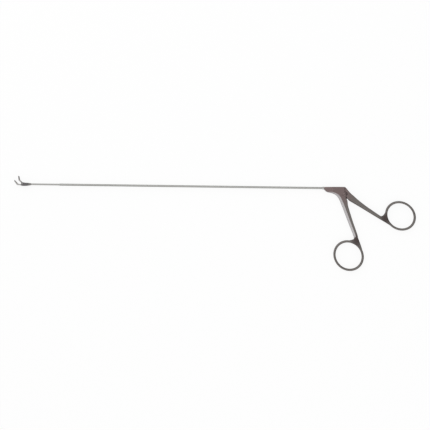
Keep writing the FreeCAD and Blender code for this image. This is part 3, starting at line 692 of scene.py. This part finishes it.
def noise(tree, place, scale, detail=2.0):
    """Cloudy noise from zero to one."""
    cloud = tree.nodes.new("ShaderNodeTexNoise")
    cloud.inputs["Detail"].default_value = detail
    feed(tree, place, cloud.inputs["Vector"])
    feed(tree, scale, cloud.inputs["Scale"])
    return cloud.outputs[0]


def blend(tree, share, first, second):
    """Mix of two colours."""
    mix = tree.nodes.new("ShaderNodeMix")
    mix.data_type = "RGBA"
    for value, socket in ((share, mix.inputs[0]), (first, mix.inputs[6]), (second, mix.inputs[7])):
        feed(tree, value, socket)
    return mix.outputs[2]


def coordinate(tree, kind="Object"):
    """Place on the piece, or the way its surface faces."""
    return tree.nodes.new("ShaderNodeTexCoord").outputs[kind]


def parts_of(tree, vector):
    """The X, Y and Z of a vector."""
    parts = tree.nodes.new("ShaderNodeSeparateXYZ")
    tree.links.new(vector, parts.inputs[0])
    return parts.outputs


def shared_group(name, takes, gives):
    """Node group with its named sockets, and the two sides that its nodes are linked to."""
    group = bpy.data.node_groups.new(name, "ShaderNodeTree")
    for socket, kind, default in takes:
        made = group.interface.new_socket(name=socket, in_out="INPUT", socket_type="NodeSocket" + kind)
        made.default_value = default
    for socket, kind in gives:
        group.interface.new_socket(name=socket, in_out="OUTPUT", socket_type="NodeSocket" + kind)
    return group, group.nodes.new("NodeGroupInput").outputs, group.nodes.new("NodeGroupOutput").inputs


# Effects that the finishes share

GREY = (0.5, 0.5, 0.5, 1.0)


def grain_group():
    """Satin grain: fine scratches along the piece, blasted speckle and slow drift of the tone."""
    takes = (("Tone", "Color", GREY), ("Stretch", "Vector", (1, 1, 1)),
             ("Fine Scale", "Float", FINE_SCALE), ("Drift Scale", "Float", DRIFT_SCALE),
             ("Drift", "Float", 0.12), ("Low Roughness", "Float", 0.28), ("High Roughness", "Float", 0.42))
    gives = (("Color", "Color"), ("Roughness", "Float"), ("Height", "Float"))
    group, given, made = shared_group("SatinGrain", takes, gives)
    place = coordinate(group)
    fine = noise(group, vector_step(group, "MULTIPLY", place, given["Stretch"]), given["Fine Scale"], 3.0)
    drift = noise(group, place, given["Drift Scale"], 4.0)
    both = number_step(group, "ADD", drift, fine)
    swing = number_step(group, "MULTIPLY_ADD", both, given["Drift"], 1.0)
    even = number_step(group, "SUBTRACT", swing, given["Drift"])
    feed(group, vector_step(group, "SCALE", given["Tone"], even), made["Color"])
    feed(group, spread(group, drift, 0.3, 0.7, given["Low Roughness"], given["High Roughness"]),
         made["Roughness"])
    feed(group, fine, made["Height"])


def wear_group():
    """Edge wear: picks out raised edges, broken up by noise, and pales the colour there."""
    takes = (("Color", "Color", GREY), ("Bright", "Color", GREY), ("From", "Float", 0.53),
             ("To", "Float", 0.60), ("Amount", "Float", 0.6))
    gives = (("Color", "Color"), ("Mask", "Float"))
    group, given, made = shared_group("EdgeWear", takes, gives)
    form = group.nodes.new("ShaderNodeNewGeometry")
    edge = spread(group, form.outputs["Pointiness"], given["From"], given["To"])
    broken = number_step(group, "MULTIPLY", edge, noise(group, coordinate(group), WEAR_SCALE))
    amount = number_step(group, "MULTIPLY", broken, given["Amount"])
    feed(group, blend(group, amount, given["Color"], given["Bright"]), made["Color"])
    feed(group, amount, made["Mask"])


def zone_group():
    """Zone of another shade on a steel, slightly streaked where it shows."""
    takes = (("Color", "Color", GREY), ("Shade", "Color", GREY), ("Mask", "Float", 0.0))
    group, given, made = shared_group("SteelZone", takes, (("Color", "Color"),))
    uneven = spread(group, noise(group, coordinate(group), FINE_SCALE), 0.35, 0.65, 0.9, 1.0)
    share = number_step(group, "MULTIPLY", given["Mask"], uneven)
    feed(group, blend(group, share, given["Color"], given["Shade"]), made["Color"])


# Zones of the steels

def near(tree, centre, inner, outer):
    """Share that is one within the inner distance of a place and none beyond the outer, in millimetres."""
    distance = vector_step(tree, "DISTANCE", coordinate(tree), (centre[0] * MM, centre[1] * MM, 0))
    return between(tree, distance, outer * MM, inner * MM)


def along(tree, axis, start, end):
    """Share that is none up to a place along an axis and one past another, in millimetres."""
    return between(tree, parts_of(tree, coordinate(tree))[axis], start * MM, end * MM)


def front_facet_sheen_mask(tree):
    """Painted sheen: the facet under the chin and down the front leg is painted paler, as the reflection
    its slope catches, found by how it faces and where it lies.
    """
    facing = coordinate(tree, "Normal")
    tilt = number_step(tree, "ABSOLUTE", parts_of(tree, facing)["Z"])
    outward = vector_step(tree, "DOT_PRODUCT", facing, FACET_SHEEN_OUTWARD)
    mask = between(tree, tilt, *FACET_SHEEN_STEEPEST)
    for share in (between(tree, tilt, *FACET_SHEEN_FLATTEST), between(tree, outward, *FACET_SHEEN_TURN),
                  along(tree, "Y", *FACET_SHEEN_DOWN), along(tree, "X", *FACET_SHEEN_ACROSS)):
        mask = number_step(tree, "MULTIPLY", mask, share)
    return mask


def away_from_joint_mask(tree):
    """Legs and rings, which are greyer than the block round the joint."""
    return number_step(tree, "SUBTRACT", 1.0, near(tree, *JOINT_ZONE))


def front_web_shade_mask(tree):
    """Painted shade in the corner in front of the finger ring."""
    return near(tree, *FRONT_WEB_SHADE_ZONE)


def rear_web_shade_mask(tree):
    """Painted shade in the corner in front of the thumb ring."""
    return near(tree, *REAR_WEB_SHADE_ZONE)


def cup_end_mask(tree):
    """The jaws' front ends, ground and polished paler than the hinge."""
    return along(tree, "X", *CUP_END_RUN)


def head_rear_mask(tree):
    """Rear of the hinge head, where it pales towards the tube."""
    return along(tree, "X", *HEAD_REAR_RUN)


# Finishes

def satin_steel(name, shade, stretch=(1, 1, 1), rough=(0.28, 0.4), drift=0.12, bump=0.02, wear=0.5,
                fine=FINE_SCALE, bright=tone(205, 203, 200)):
    """Steel whose grain, roughness and worn edges come from the shared groups."""
    material = bpy.data.materials.new(name)
    material.use_nodes = True
    tree = material.node_tree
    shader = tree.nodes["Principled BSDF"]
    shader.inputs["Metallic"].default_value = 1.0
    grain = tree.nodes.new("ShaderNodeGroup")
    grain.name = "Grain"
    grain.node_tree = bpy.data.node_groups["SatinGrain"]
    for socket, value in (("Tone", shade), ("Stretch", stretch), ("Fine Scale", fine), ("Drift", drift),
                          ("Low Roughness", rough[0]), ("High Roughness", rough[1])):
        grain.inputs[socket].default_value = value
    edges = tree.nodes.new("ShaderNodeGroup")
    edges.name = "Edges"
    edges.node_tree = bpy.data.node_groups["EdgeWear"]
    edges.inputs["Bright"].default_value = bright
    edges.inputs["Amount"].default_value = wear
    relief = tree.nodes.new("ShaderNodeBump")
    relief.inputs["Strength"].default_value = bump
    relief.inputs["Distance"].default_value = RELIEF_DEPTH * MM
    feed(tree, grain.outputs["Color"], edges.inputs["Color"])
    feed(tree, edges.outputs["Color"], shader.inputs["Base Color"])
    feed(tree, grain.outputs["Roughness"], shader.inputs["Roughness"])
    feed(tree, grain.outputs["Height"], relief.inputs["Height"])
    feed(tree, relief.outputs[0], shader.inputs["Normal"])
    return material


def add_zone(material, shade, mask):
    """Puts a zone of another shade on a steel, after the zones it has and before its worn edges."""
    tree = material.node_tree
    before_edges = tree.nodes["Edges"].inputs["Color"]
    zone = tree.nodes.new("ShaderNodeGroup")
    zone.node_tree = bpy.data.node_groups["SteelZone"]
    zone.inputs["Shade"].default_value = shade
    feed(tree, mask(tree), zone.inputs["Mask"])
    feed(tree, before_edges.links[0].from_socket, zone.inputs["Color"])
    feed(tree, zone.outputs["Color"], before_edges)


def natural_polymer(shade):
    """Milky fluoropolymer of the guides and the seal."""
    material = satin_steel("natural_polymer", shade, rough=(0.4, 0.55), drift=0.05, bump=0.05, wear=0.0)
    material.node_tree.nodes["Principled BSDF"].inputs["Metallic"].default_value = 0.0


# Stage

def seen_directly(tree):
    """Share that is one for rays from the camera and for reflections of the background."""
    path = tree.nodes.new("ShaderNodeLightPath")
    total = path.outputs["Is Camera Ray"]
    for name in ("Is Glossy Ray", "Is Transmission Ray"):
        total = number_step(tree, "ADD", total, path.outputs[name])
        total.node.use_clamp = True
    return total


def mix_shaders(tree, share, first, second, output):
    """Puts a mix of two shaders on an output."""
    mix = tree.nodes.new("ShaderNodeMixShader")
    for value, socket in zip((share, first.outputs[0], second.outputs[0]), mix.inputs):
        feed(tree, value, socket)
    feed(tree, mix.outputs[0], output.inputs["Surface"])


def set_floor():
    """Pale floor that the handle's side rests on; it shows nearly white and keeps the shadow."""
    rest_hands()
    level = -(HALF_HANDLE + FLOOR_GAP) * MM
    bpy.ops.mesh.primitive_plane_add(size=FLOOR_SIZE, location=(*FLOOR_MIDDLE, level))
    floor = bpy.context.object
    bpy.ops.object.transform_apply(location=True, rotation=False, scale=False)
    floor.name = "floor"
    material = bpy.data.materials.new("pale_floor")
    material.use_nodes = True
    tree = material.node_tree
    paper = tree.nodes["Principled BSDF"]
    paper.inputs["Base Color"].default_value = (0.9, 0.9, 0.9, 1)
    paper.inputs["Roughness"].default_value = 0.9
    paper.inputs["Specular IOR Level"].default_value = 0.0
    white = tree.nodes.new("ShaderNodeEmission")
    share = number_step(tree, "MULTIPLY", seen_directly(tree), FLOOR_WHITE)
    mix_shaders(tree, share, paper, white, tree.nodes["Material Output"])
    floor.data.materials.append(material)


def set_world(level):
    """Even room light; the eye sees a white room, and the reflections one that greys towards its walls."""
    world = bpy.data.worlds.new("room")
    bpy.context.scene.world = world
    world.use_nodes = True
    tree = world.node_tree
    lit = tree.nodes["Background"]
    seen = tree.nodes.new("ShaderNodeBackground")
    for light in (lit, seen):
        light.inputs["Color"].default_value = (1, 1, 1, 1)
    lit.inputs["Strength"].default_value = level
    upward = vector_step(tree, "DOT_PRODUCT", coordinate(tree, "Generated"), BRIGHT_SIDE)
    wall = spread(tree, upward, *WALL_RUN, WALL_GREY, 1.0)
    eye = tree.nodes.new("ShaderNodeLightPath").outputs["Is Camera Ray"]
    feed(tree, number_step(tree, "MAXIMUM", wall, eye), seen.inputs["Strength"])
    mix_shaders(tree, seen_directly(tree), lit, seen, tree.nodes["World Output"])


def softbox(name, place, target, side, power):
    """Square lamp at a place, turned to its target, in metres."""
    rest_hands()
    bpy.ops.object.light_add(type="AREA", location=place)
    lamp = bpy.context.object
    lamp.name = name
    lamp.data.energy = power
    lamp.data.size = side
    lamp.rotation_euler = (Vector(target) - Vector(place)).to_track_quat("-Z", "Y").to_euler()


def set_camera(settings):
    """Camera straight above, as far off and as narrow as the framed width asks."""
    rest_hands()
    bpy.ops.object.camera_add(location=(*PICTURE_MIDDLE, settings.camera_height),
                              rotation=(0, 0, settings.camera_turn))
    camera = bpy.context.object
    camera.data.sensor_width = SENSOR_WIDTH
    camera.data.lens = SENSOR_WIDTH * settings.camera_height / settings.framed_width
    camera.data.clip_end = 20.0
    bpy.context.scene.camera = camera


# What a user may change

def shade_choice(name, description, *levels):
    """Colour to choose, with its default in sRGB levels."""
    return bpy.props.FloatVectorProperty(
        name=name, description=description, subtype="COLOR", size=4, min=0, max=1, default=tone(*levels))


class ForcepsSizes(bpy.types.PropertyGroup):
    """Sizes of the forged and polished pieces"""
    voxel: bpy.props.FloatProperty(
        name="Skin fineness", description="Grid that the handle forgings are melted on, in millimetres",
        default=0.18, min=0.08, max=0.5)
    smoothing: bpy.props.IntProperty(
        name="Skin smoothing", description="Passes that round the forged corners",
        default=13, min=0, max=40)
    jaw_voxel: bpy.props.FloatProperty(
        name="Jaw fineness", description="Grid that the jaws are polished on, in millimetres",
        default=0.047, min=0.02, max=0.2)
    wire_width: bpy.props.FloatProperty(
        name="Ring wire width", description="Width of the ring wire seen from above, in millimetres",
        default=2.1, min=1.0, max=3.0)
    wire_depth: bpy.props.FloatProperty(
        name="Ring wire depth", description="Height of the ring wire on the lying forceps, in millimetres",
        default=3.1, min=1.5, max=4.5)


class ForcepsFinish(bpy.types.PropertyGroup):
    """Tones of the steels, the bronze and the polymer"""
    handle_tone: shade_choice("Handle steel", "Tone of the blasted handle", 108, 95, 94)
    leg_tone: shade_choice("Leg and ring steel", "Tone of the legs and rings", 107, 103, 100)
    # Painted shade: the dark tone put in the corners in front of the rings and on the recessed tongue
    web_shade_tone: shade_choice("Painted web shade", "Dark tone painted as shade in the corners in front of the rings and on the tongue", 69, 61, 60)
    # Painted reflection: a pale tone that stands in for the light the front facet catches
    facet_sheen_tone: shade_choice("Painted facet sheen", "Pale tone painted on the facet as its sheen", 184, 181, 182)
    tube_tone: shade_choice("Tube steel", "Tone of the drawn tubes", 146, 146, 143)
    head_tone: shade_choice("Hinge head steel", "Tone of the hinge head", 85, 83, 84)
    jaw_tone: shade_choice("Jaw steel", "Tone of the cups", 140, 138, 136)
    screw_tone: shade_choice("Screw steel", "Tone of the pivot screw and the lock screw", 108, 96, 95)
    ferrule_tone: shade_choice("Ferrule steel", "Tone of the nose ferrule", 118, 115, 112)
    pin_tone: shade_choice("Pin steel", "Tone of the ground pins", 150, 148, 146)
    rod_tone: shade_choice("Rod steel", "Tone of the pull rod and its ends", 152, 151, 147)
    bronze_tone: shade_choice("Bearing bronze", "Tone of the pivot bush and the washers", 176, 136, 84)
    polymer_tone: shade_choice("Polymer", "Tone of the rod guides and the seal", 222, 219, 210)


class ForcepsStage(bpy.types.PropertyGroup):
    """Camera and light"""
    camera_height: bpy.props.FloatProperty(
        name="Camera height", description="Camera above the instrument",
        default=1.2, min=0.5, max=5.0, unit="LENGTH")
    framed_width: bpy.props.FloatProperty(
        name="Framed width", description="Width of the picture at the shaft",
        default=0.387, min=0.1, max=1.0, unit="LENGTH")
    camera_turn: bpy.props.FloatProperty(
        name="Camera turn", description="How far the picture leans against the shaft",
        default=math.radians(0.76), subtype="ANGLE")
    world_light: bpy.props.FloatProperty(
        name="Room light", description="Strength of the even light from all round",
        default=0.62, min=0, max=2)
    key_light: bpy.props.FloatProperty(
        name="Softbox light", description="Power of the main softbox, in watts",
        default=7.5, min=0, max=100)


def chosen_sizes():
    """Sizes set in the panel."""
    return bpy.context.scene.forceps_sizes


def chosen_finish():
    """Tones set in the panel."""
    return bpy.context.scene.forceps_finish


# One operator for each piece or group of like pieces

class FORCEPS_OT_finishes(bpy.types.Operator):
    """Makes the satin steels, the bronze and the polymer"""
    bl_idname = "forceps.finishes"
    bl_label = "Finishes"

    def execute(self, context):
        grain_group()
        wear_group()
        zone_group()
        look = chosen_finish()
        # Each half gets painted shade in the corner in front of its ring
        for name, web_shade in (("finger_half_steel", front_web_shade_mask), ("thumb_half_steel", rear_web_shade_mask)):
            handle = satin_steel(name, look.handle_tone, rough=(0.36, 0.47), drift=0.14, bump=0.05,
                                 bright=look.leg_tone, wear=0.3)
            add_zone(handle, look.leg_tone, away_from_joint_mask)
            add_zone(handle, look.web_shade_tone, web_shade)
        # Painted sheen: the finger half's facet is painted paler where its slope catches the light
        add_zone(bpy.data.materials["finger_half_steel"], look.facet_sheen_tone, front_facet_sheen_mask)
        # Painted shade: the tongue in its recess takes the dark web shade tone for the shadow that lies
        # there
        satin_steel("shaded_tongue_steel", look.web_shade_tone, rough=(0.3, 0.4), bump=0.05, wear=0.2,
                    bright=look.leg_tone)
        satin_steel("turned_screw_steel", look.screw_tone, rough=(0.22, 0.34), bump=0.05, wear=0.0)
        satin_steel("ferrule_steel", look.ferrule_tone, rough=(0.24, 0.38), bump=0.06, wear=0.3)
        satin_steel("drawn_tube_steel", look.tube_tone, stretch=(0.012, 1, 1), rough=(0.24, 0.36),
                    drift=0.1, bump=0.10, fine=7000.0, wear=0.2)
        for name in ("hinge_head_steel", "cup_jaw_steel"):
            jaw = satin_steel(name, look.head_tone, rough=(0.24, 0.36), bump=0.04, wear=0.3,
                              bright=look.jaw_tone)
            add_zone(jaw, look.jaw_tone, cup_end_mask)
            add_zone(jaw, look.ferrule_tone, head_rear_mask)
        satin_steel("ground_pin_steel", look.pin_tone, rough=(0.2, 0.3), bump=0.03, wear=0.0)
        satin_steel("pull_rod_steel", look.rod_tone, stretch=(0.02, 1, 1), rough=(0.22, 0.34), bump=0.06,
                    wear=0.0)
        satin_steel("bearing_bronze", look.bronze_tone, rough=(0.3, 0.42), bump=0.08, wear=0.0)
        natural_polymer(look.polymer_tone)
        return {"FINISHED"}


class FORCEPS_OT_handles(bpy.types.Operator):
    """Forges the finger half and the thumb half"""
    bl_idname = "forceps.handles"
    bl_label = "Handles"

    def execute(self, context):
        steels = bpy.data.materials
        front = forge_front_handle(chosen_sizes())
        dress(front, steels["finger_half_steel"], "front_half", "handle_steel", "front_handle")
        thumb = forge_thumb_handle(chosen_sizes())
        dress(thumb, steels["thumb_half_steel"], "thumb_half", "handle_steel", "thumb_handle")
        dress(tongue_plate(), steels["shaded_tongue_steel"], "thumb_half", "handle_steel", "thumb_handle")
        return {"FINISHED"}


class FORCEPS_OT_shaft(bpy.types.Operator):
    """Draws the two tubes and turns the ferrule"""
    bl_idname = "forceps.shaft"
    bl_label = "Shaft"

    def execute(self, context):
        steels = bpy.data.materials
        dress(drawn_shaft_tube(), steels["drawn_tube_steel"], "front_half", "tube_steel", "shaft_tube")
        dress(drawn_distal_tube(), steels["drawn_tube_steel"], "front_half", "tube_steel", "distal_tube")
        dress(turned_ferrule(), steels["ferrule_steel"], "front_half", "ferrule_steel", "nose_ferrule")
        return {"FINISHED"}


class FORCEPS_OT_jaws(bpy.types.Operator):
    """Polishes the hinge head with its fixed cup, and the moving cup"""
    bl_idname = "forceps.jaws"
    bl_label = "Jaws"

    def execute(self, context):
        grid = chosen_sizes().jaw_voxel
        head = polished("fixed_jaw", "fixed_jaw_polished", grid, JAW_PASSES)
        dress(head, bpy.data.materials["hinge_head_steel"], "front_half", "jaw_steel", "fixed_jaw")
        jaw = polished("moving_jaw", "moving_jaw_polished", grid, JAW_PASSES)
        dress(jaw, bpy.data.materials["cup_jaw_steel"], "upper_jaw", "jaw_steel", "moving_jaw")
        return {"FINISHED"}


class FORCEPS_OT_screws(bpy.types.Operator):
    """Turns the pivot screw and finishes the lock screw and the stop pin"""
    bl_idname = "forceps.screws"
    bl_label = "Screws"

    def execute(self, context):
        steel = bpy.data.materials["turned_screw_steel"]
        dress(slotted_pivot_screw(), steel, "front_half", "screw_steel", "pivot_screw")
        coat("tube_lock_screw", steel)
        coat("stop_pin", bpy.data.materials["thumb_half_steel"])
        return {"FINISHED"}


class FORCEPS_OT_mechanism(bpy.types.Operator):
    """Finishes the rod, its ends, the pins, the bushes and the guides"""
    bl_idname = "forceps.mechanism"
    bl_label = "Mechanism"

    def execute(self, context):
        for node in ("jaw_pin", "drive_pin", "link_pin"):
            coat(node, bpy.data.materials["ground_pin_steel"])
        for node in ("pull_rod", "rod_fork", "rod_clevis", "clevis_lock_nut"):
            coat(node, bpy.data.materials["pull_rod_steel"])
        for node in ("pivot_bush", "pivot_washers"):
            coat(node, bpy.data.materials["bearing_bronze"])
        for node in ("guide_bushes", "gland_bush"):
            coat(node, bpy.data.materials["natural_polymer"])
        return {"FINISHED"}


class FORCEPS_OT_stage(bpy.types.Operator):
    """Sets the floor, the light and the camera"""
    bl_idname = "forceps.stage"
    bl_label = "Stage"

    def execute(self, context):
        scene = context.scene
        settings = scene.forceps_stage
        set_floor()
        set_world(settings.world_light)
        for name, (place, target, side, share) in SOFTBOXES.items():
            softbox(name, place, target, side, settings.key_light * share)
        set_camera(settings)
        scene.view_settings.view_transform = "Standard"
        return {"FINISHED"}


class FORCEPS_PT_panel(bpy.types.Panel):
    """Lists the sizes, the tones and the steps"""
    bl_label = "Cup forceps"
    bl_idname = "FORCEPS_PT_panel"
    bl_space_type = "VIEW_3D"
    bl_region_type = "UI"
    bl_category = "Forceps"

    def draw(self, context):
        scene = context.scene
        for group in (scene.forceps_sizes, scene.forceps_finish, scene.forceps_stage):
            box = self.layout.box()
            for key in group.__annotations__:
                box.prop(group, key)
        for step in STEPS:
            self.layout.operator(step.bl_idname)


STEPS = (FORCEPS_OT_finishes, FORCEPS_OT_handles, FORCEPS_OT_shaft, FORCEPS_OT_jaws, FORCEPS_OT_screws,
         FORCEPS_OT_mechanism, FORCEPS_OT_stage)
GROUPS = {"forceps_sizes": ForcepsSizes, "forceps_finish": ForcepsFinish, "forceps_stage": ForcepsStage}


def register():
    """Adds the property groups, the steps and the panel."""
    for kind in (*GROUPS.values(), *STEPS, FORCEPS_PT_panel):
        bpy.utils.register_class(kind)
    for name, kind in GROUPS.items():
        setattr(bpy.types.Scene, name, bpy.props.PointerProperty(type=kind))


def unregister():
    """Takes them away again."""
    for name in GROUPS:
        delattr(bpy.types.Scene, name)
    for kind in reversed((*GROUPS.values(), *STEPS, FORCEPS_PT_panel)):
        bpy.utils.unregister_class(kind)


def main():
    """Builds every piece and the stage."""
    register()
    for step in STEPS:
        getattr(bpy.ops.forceps, step.bl_idname.split(".")[1])()


if __name__ == "__main__":
    main()
